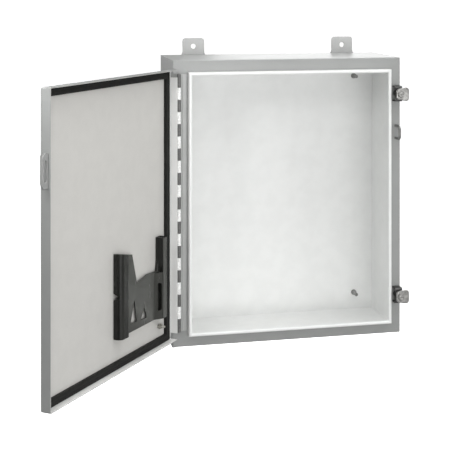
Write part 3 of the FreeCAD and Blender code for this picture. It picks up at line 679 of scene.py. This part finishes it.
# grounding studs
def build_ground_studs():
    lo, hi = closed_box("door_ground_stud")
    s = Shell()
    o = ((lo.x + hi.x) / 2, lo.y, (lo.z + hi.z) / 2)
    s.lathe(o, (0, 1, 0), [(0.0, 0.0045), (0.0005, 0.00448), (0.0009, 0.0041), (0.0012, 0.0034), (0.0012, 0.0026)], 36,
            lambda a, r, h: r - 0.00008 + ripple(a, h, 0.00007, 2.0))
    s.thread(o, (0, 1, 0), 0.0010, hi.y - lo.y, 0.00238, 0.00045, 0.00106, run_out=0.0008)
    obj = add_mesh("door_ground_stud_threaded", s.verts, s.faces, plated_mat, "door", 40.0, TO_REST)
    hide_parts("door_ground_stud")
    lo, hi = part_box("body_ground_stud")
    s = Shell()
    o = (lo.x, (lo.y + hi.y) / 2, (lo.z + hi.z) / 2)
    s.lathe(o, (1, 0, 0), [(0.0, 0.0045), (0.0005, 0.00448), (0.0009, 0.0041), (0.0012, 0.0034), (0.0012, 0.0026)], 36,
            lambda a, r, h: r - 0.00008 + ripple(a, h, 0.00007, 5.0))
    s.thread(o, (1, 0, 0), 0.0010, hi.x - lo.x, 0.00238, 0.00045, 0.00106, run_out=0.0008)
    obj = add_mesh("body_ground_stud_threaded", s.verts, s.faces, plated_mat, "cabinet", 40.0)
    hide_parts("body_ground_stud")


build_ground_studs()


# foam tape behind the document pocket: soft edges and a slightly wavy side
def build_tape():
    cad = NODES["pocket_adhesive_strips"]
    co = [TO_CLOSED @ v.co for v in cad.data.vertices]
    # split the node's vertices into its separate strips
    bm = bmesh.new()
    bm.from_mesh(cad.data)
    bmesh.ops.remove_doubles(bm, verts=bm.verts, dist=1e-6)
    left = set(bm.verts)
    islands = []
    while left:
        stack = [next(iter(left))]
        left.discard(stack[0])
        group = []
        while stack:
            v = stack.pop()
            group.append(TO_CLOSED @ v.co)
            for e in v.link_edges:
                o = e.other_vert(v)
                if o in left:
                    left.discard(o)
                    stack.append(o)
        islands.append((Vector([min(g[i] for g in group) for i in range(3)]), Vector([max(g[i] for g in group) for i in range(3)])))
    bm.free()
    islands.sort(key=lambda b: (round(b[0].x, 5), round(b[0].z, 5)))
    s = Shell()
    for n, (lo, hi) in enumerate(islands):
        rows = []
        steps = max(8, int((hi.z - lo.z) / 0.003))
        ends = 0.0006
        for i in range(steps + 1):
            z = lo.z + (hi.z - lo.z) * i / steps
            e = min(1.0, (z - lo.z) / ends + 0.35, (hi.z - z) / ends + 0.35)
            row = []
            for (px, py) in ((0.0, 0.04), (0.0, 0.5), (0.0, 0.96), (0.02, 1.0), (0.25, 1.0), (0.5, 1.0), (0.75, 1.0), (0.98, 1.0),
                             (1.0, 0.96), (1.0, 0.5), (1.0, 0.04), (0.98, 0.0), (0.5, 0.0), (0.02, 0.0)):
                bulge = 0.00016 * (noise.noise(Vector((z * 90, px * 5, n * 3.0))) - 0.4) - 0.00012 * (1 - abs(2 * py - 1)) * 0.0
                x = lo.x + (hi.x - lo.x) * px
                x += (0.00025 - bulge) * (1 if px < 0.5 else -1) if px in (0.0, 1.0) else 0.0
                y = lo.y + (hi.y - lo.y) * (0.5 + (py - 0.5) * e)
                row.append(Vector((x, y, z)))
            rows.append(row)
        s.rings(rows)
    obj = add_mesh("pocket_foam_tape", s.verts, s.faces, tape_mat, "door", 35.0, TO_REST)
    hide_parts("pocket_adhesive_strips")


build_tape()


# weld beads: fillets down both sides and across the end of each mounting foot, stitched to the back wall
def build_beads():
    s = Shell()
    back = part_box("mounting_foot_top_left")[0].y
    seg = 10
    runs = []
    for n, node in enumerate(("mounting_foot_top_left", "mounting_foot_top_right", "mounting_foot_bottom_left", "mounting_foot_bottom_right")):
        lo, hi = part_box(node)
        top = "top" in node
        inner = lo.z if top else hi.z
        d = 1 if top else -1
        for k, x in enumerate((lo.x, hi.x)):
            side = -1 if k == 0 else 1
            runs.append(((x, inner + d * 0.0050), (0, d), (side, 0), 0.029, n * 4.0 + k))
        runs.append((((lo.x + hi.x) / 2 - 0.021, inner), (1, 0), (0, -d), 0.042, n * 4.0 + 2))
    for (x, z), (tx, tz), (ox, oz), length, seed in runs:
        steps = int(length / 0.00055)
        rows = []
        for i in range(steps + 1):
            p = i / steps * length
            end = min(1.0, math.sqrt(max(0.0, min(p, length - p) / 0.0022)) + 0.12)
            beat = 0.5 + 0.5 * math.cos(2 * math.pi * p / 0.0021 + noise.noise(Vector((p * 300, seed, 0))) * 1.2)
            size = (0.0023 + 0.00022 * beat + 0.00030 * noise.noise(Vector((p * 130, seed, 4.0)))) * end
            row = []
            for j in range(seg):
                a = math.pi / 2 * j / (seg - 1)
                # convex fillet section: out from the foot's edge, standing on the back wall
                o = size * math.cos(a)
                h = min(size * math.sin(a) * 1.08, 0.0030)
                row.append(Vector((x + tx * p + ox * o, back + h, z + tz * p + oz * o)))
            row.append(Vector((x + tx * p - ox * 0.0008, back + min(size * 0.9, 0.0028), z + tz * p - oz * 0.0008)))
            row.append(Vector((x + tx * p - ox * 0.0008, back - 0.0003, z + tz * p - oz * 0.0008)))
            row.append(Vector((x + tx * p + ox * size * 0.96, back - 0.0003, z + tz * p + oz * size * 0.96)))
            rows.append(row)
        s.rings(rows)
    add_mesh("foot_weld_beads", s.verts, s.faces, foot_mat, "cabinet", 60.0)


build_beads()


# bead of sealant pressed into the four inside corners where the end walls meet the wrap
def build_seams():
    s = Shell()
    wall = 0.0019
    x0, x1 = body_lo.x + wall, body_hi.x - wall
    yb = -0.0034 - wall
    yf = FLANGE + wall + 0.001
    z0, z1 = body_lo.z + wall, body_hi.z - wall
    runs = []
    for n, (z, dz) in enumerate(((z0, 1), (z1, -1))):
        for m, (x, dx) in enumerate(((x0, 1), (x1, -1))):
            runs.append((Vector((x, yf, z)), Vector((0, 1, 0)), yb - yf, Vector((dx, 0, 0)), Vector((0, 0, dz)), n * 2.0 + m))
        runs.append((Vector((x0, yb, z)), Vector((1, 0, 0)), x1 - x0, Vector((0, -1, 0)), Vector((0, 0, dz)), 9.0 + n))
    for origin, along, length, a1, a2, seed in runs:
        steps = int(length / 0.004)
        rows = []
        for i in range(steps + 1):
            p = length * i / steps
            size = 0.0021 + 0.00045 * noise.noise(Vector((p * 60, seed, 1.0))) + 0.00020 * noise.noise(Vector((p * 240, seed, 6.0)))
            row = []
            # concave fillet across the corner
            for j in range(7):
                a = math.pi / 2 * j / 6
                u1 = size * (1 - 0.82 * math.sin(a))
                u2 = size * (1 - 0.82 * math.cos(a))
                if j == 0:
                    u1, u2 = size, 0.0
                if j == 6:
                    u1, u2 = 0.0, size
                row.append(origin + along * p + a1 * u1 + a2 * u2)
            row.append(origin + along * p - a1 * 0.0004 + a2 * size * 0.9)
            row.append(origin + along * p - a1 * 0.0004 - a2 * 0.0004)
            row.append(origin + along * p + a1 * size * 0.9 - a2 * 0.0004)
            rows.append(row)
        s.rings(rows)
    add_mesh("corner_seal_beads", s.verts, s.faces, body_mat, "cabinet", 60.0)


build_seams()

# ---------------------------------------------------------------------------
# floor, world, lights
# ---------------------------------------------------------------------------
FLOOR_Z = -1.08
bm = bmesh.new()
bmesh.ops.create_grid(bm, x_segments=8, y_segments=8, size=300.0)
me = bpy.data.meshes.new("floor")
bm.to_mesh(me)
bm.free()
floor = bpy.data.objects.new("floor", me)
floor.location = (0, 0, FLOOR_Z)
bpy.context.scene.collection.objects.link(floor)
t = Tree("pale_floor")
co = t.coords()
shade = t.noise(co, 1.3, 3.0, 0.5)
seen = t.node("ShaderNodeLightPath").outputs["Is Camera Ray"]
pale = t.mix(t.ramp(shade, 0.3, 0.7), rgb(0.88, 0.88, 0.875), rgb(0.90, 0.90, 0.895))
p = t.surface(t.mix(seen, rgb(0.42, 0.42, 0.42), pale), 0.85, t.bump(t.noise(co, 90.0, 3.0), 0.0005, 0.2))
t.put(p.inputs["Specular IOR Level"], 0.1)
t.put(p.inputs["Emission Color"], rgb(1.0, 1.0, 1.0))
t.put(p.inputs["Emission Strength"], t.math("MULTIPLY", seen, 0.85))
floor.data.materials.append(t.mat)

# environment: a high dome, and a horizon band that differs on each side
DOME = 0.36
HORIZON_LEFT = 0.03
HORIZON_RIGHT = 0.06
# name, place, target, width, height, power, colour
LIGHTS = [
    ("front_left", (-0.25, -2.9, 0.05), (0.0, -0.1, 0.0), 1.6, 0.8, 17.0, (1.0, 1.0, 0.998)),
    ("front_right", (0.45, -2.8, 0.05), (0.0, -0.1, 0.0), 1.2, 0.8, 7.3, (1.0, 1.0, 0.998)),
    ("side_right", (1.8, -1.9, 0.05), (0.0, -0.1, 0.0), 1.2, 0.8, 5.4, (1.0, 1.0, 0.998)),
    ("front_low", (0.45, -2.5, -0.6), (0.0, -0.1, 0.0), 1.2, 0.6, 3.4, (1.0, 1.0, 0.998)),
    ("key_left", (-0.55, -1.95, 1.20), (-0.05, -0.15, 0.05), 1.3, 1.1, 3.0, (1.0, 0.998, 0.99)),
    ("key_right", (1.3, -1.6, 1.35), (0.0, -0.1, 0.0), 1.0, 1.0, 8.0, (1.0, 0.998, 0.99)),
    ("top_front", (0.0, -0.9, 1.9), (0.0, -0.1, 0.0), 1.5, 0.8, 13.5, (1.0, 1.0, 1.0)),
    ("back_left", (-1.9, 2.2, 0.9), (-0.2, 0.0, 0.0), 1.6, 1.6, 34.0, (1.0, 1.0, 1.0)),
    ("top_back", (0.0, 0.55, 1.85), (0.0, 0.0, 0.2), 1.7, 1.2, 13.0, (1.0, 1.0, 1.0)),
    ("edge_light", (-0.66, -0.80, 0.50), (-0.55, -0.64, 0.20), 0.12, 0.12, 1.6, (1.0, 1.0, 1.0)),
    ("back_fill", (1.3, 2.7, 0.7), (0.0, 0.0, 0.0), 2.0, 2.0, 30.0, (1.0, 1.0, 1.0)),
]

world = bpy.data.worlds.new("studio")
bpy.context.scene.world = world
world.use_nodes = True
wn = world.node_tree
wn.nodes.clear()


def wmath(op, a, b=0.0):
    n = wn.nodes.new("ShaderNodeMath")
    n.operation = op
    for i, v in enumerate((a, b)):
        if isinstance(v, bpy.types.NodeSocket):
            wn.links.new(v, n.inputs[i])
        else:
            n.inputs[i].default_value = v
    return n.outputs[0]


def wrange(v, lo, hi, a, b):
    n = wn.nodes.new("ShaderNodeMapRange")
    n.interpolation_type = "SMOOTHSTEP"
    wn.links.new(v, n.inputs["Value"])
    for k, x in (("From Min", lo), ("From Max", hi), ("To Min", a), ("To Max", b)):
        n.inputs[k].default_value = x
    return n.outputs[0]


wsep = wn.nodes.new("ShaderNodeSeparateXYZ")
wn.links.new(wn.nodes.new("ShaderNodeTexCoord").outputs["Generated"], wsep.inputs[0])
high = wrange(wsep.outputs[2], 0.05, 0.55, 0.0, 1.0)
right = wrange(wsep.outputs[0], -0.45, 0.45, 0.0, 1.0)
low = wmath("SUBTRACT", 1.0, high)
level = wmath("MULTIPLY", high, DOME)
level = wmath("ADD", level, wmath("MULTIPLY", wmath("MULTIPLY", low, right), HORIZON_RIGHT))
level = wmath("ADD", level, wmath("MULTIPLY", wmath("MULTIPLY", low, wmath("SUBTRACT", 1.0, right)), HORIZON_LEFT))
wlit = wn.nodes.new("ShaderNodeBackground")
wlit.inputs[0].default_value = rgb(1.0, 1.0, 1.0)
wn.links.new(level, wlit.inputs[1])
wcam = wn.nodes.new("ShaderNodeBackground")
wcam.inputs[0].default_value = rgb(1.0, 1.0, 1.0)
wcam.inputs[1].default_value = 1.0
wmix = wn.nodes.new("ShaderNodeMixShader")
wn.links.new(wn.nodes.new("ShaderNodeLightPath").outputs["Is Camera Ray"], wmix.inputs[0])
wn.links.new(wlit.outputs[0], wmix.inputs[1])
wn.links.new(wcam.outputs[0], wmix.inputs[2])
wn.links.new(wmix.outputs[0], wn.nodes.new("ShaderNodeOutputWorld").inputs[0])


def area(name, place, target, size, size_y, power, color):
    d = bpy.data.lights.new(name, "AREA")
    d.shape = "RECTANGLE"
    d.energy = power
    d.size = size
    d.size_y = size_y
    d.color = color
    o = bpy.data.objects.new(name, d)
    bpy.context.scene.collection.objects.link(o)
    o.visible_camera = False
    o.location = place
    o.rotation_euler = (Vector(target) - Vector(place)).to_track_quat("-Z", "Y").to_euler()


for row in LIGHTS:
    if row[5] > 0:
        area(*row)

# ---------------------------------------------------------------------------
# camera
# ---------------------------------------------------------------------------
ZOOM = 2.55
LENS = 456.31 / 450.0 * 36.0 * ZOOM
SHIFT_X = -(185.59 - 166.5) * ZOOM / 450.0
SHIFT_Y = (131.15 - 225.0) * ZOOM / 450.0
cam_data = bpy.data.cameras.new("camera")
cam_data.sensor_width = 36.0
cam_data.lens = LENS
cam_data.clip_start = 0.05
cam_data.clip_end = 1000.0
cam = bpy.data.objects.new("camera", cam_data)
bpy.context.scene.collection.objects.link(cam)
cam.location = (-0.5843, -2.6633, 0.4636)
cam.rotation_euler = (math.radians(90.0), 0.0, math.radians(-12.637))
bpy.context.scene.camera = cam

# the lens shift belongs to this camera place only: it fades to none once the camera is moved away
home = bpy.data.objects.new("camera_home", None)
bpy.context.scene.collection.objects.link(home)
home.location = cam.location


def shift_driver(path, value):
    fc = cam_data.driver_add(path)
    d = fc.driver
    d.type = "AVERAGE"
    v = d.variables.new()
    v.name = "away"
    v.type = "LOC_DIFF"
    v.targets[0].id = cam
    v.targets[1].id = home
    for m in list(fc.modifiers):
        fc.modifiers.remove(m)
    for x, y in ((-1.0, value), (0.02, value), (0.12, 0.0), (1000.0, 0.0)):
        k = fc.keyframe_points.insert(x, y)
        k.interpolation = "LINEAR"
    fc.extrapolation = "CONSTANT"


shift_driver("shift_x", SHIFT_X)
shift_driver("shift_y", SHIFT_Y)

sc = bpy.context.scene
sc.view_settings.view_transform = "Standard"
sc.view_settings.look = "None"
sc.view_settings.exposure = 0.0
sc.view_settings.gamma = 1.0
sc.render.film_transparent = False
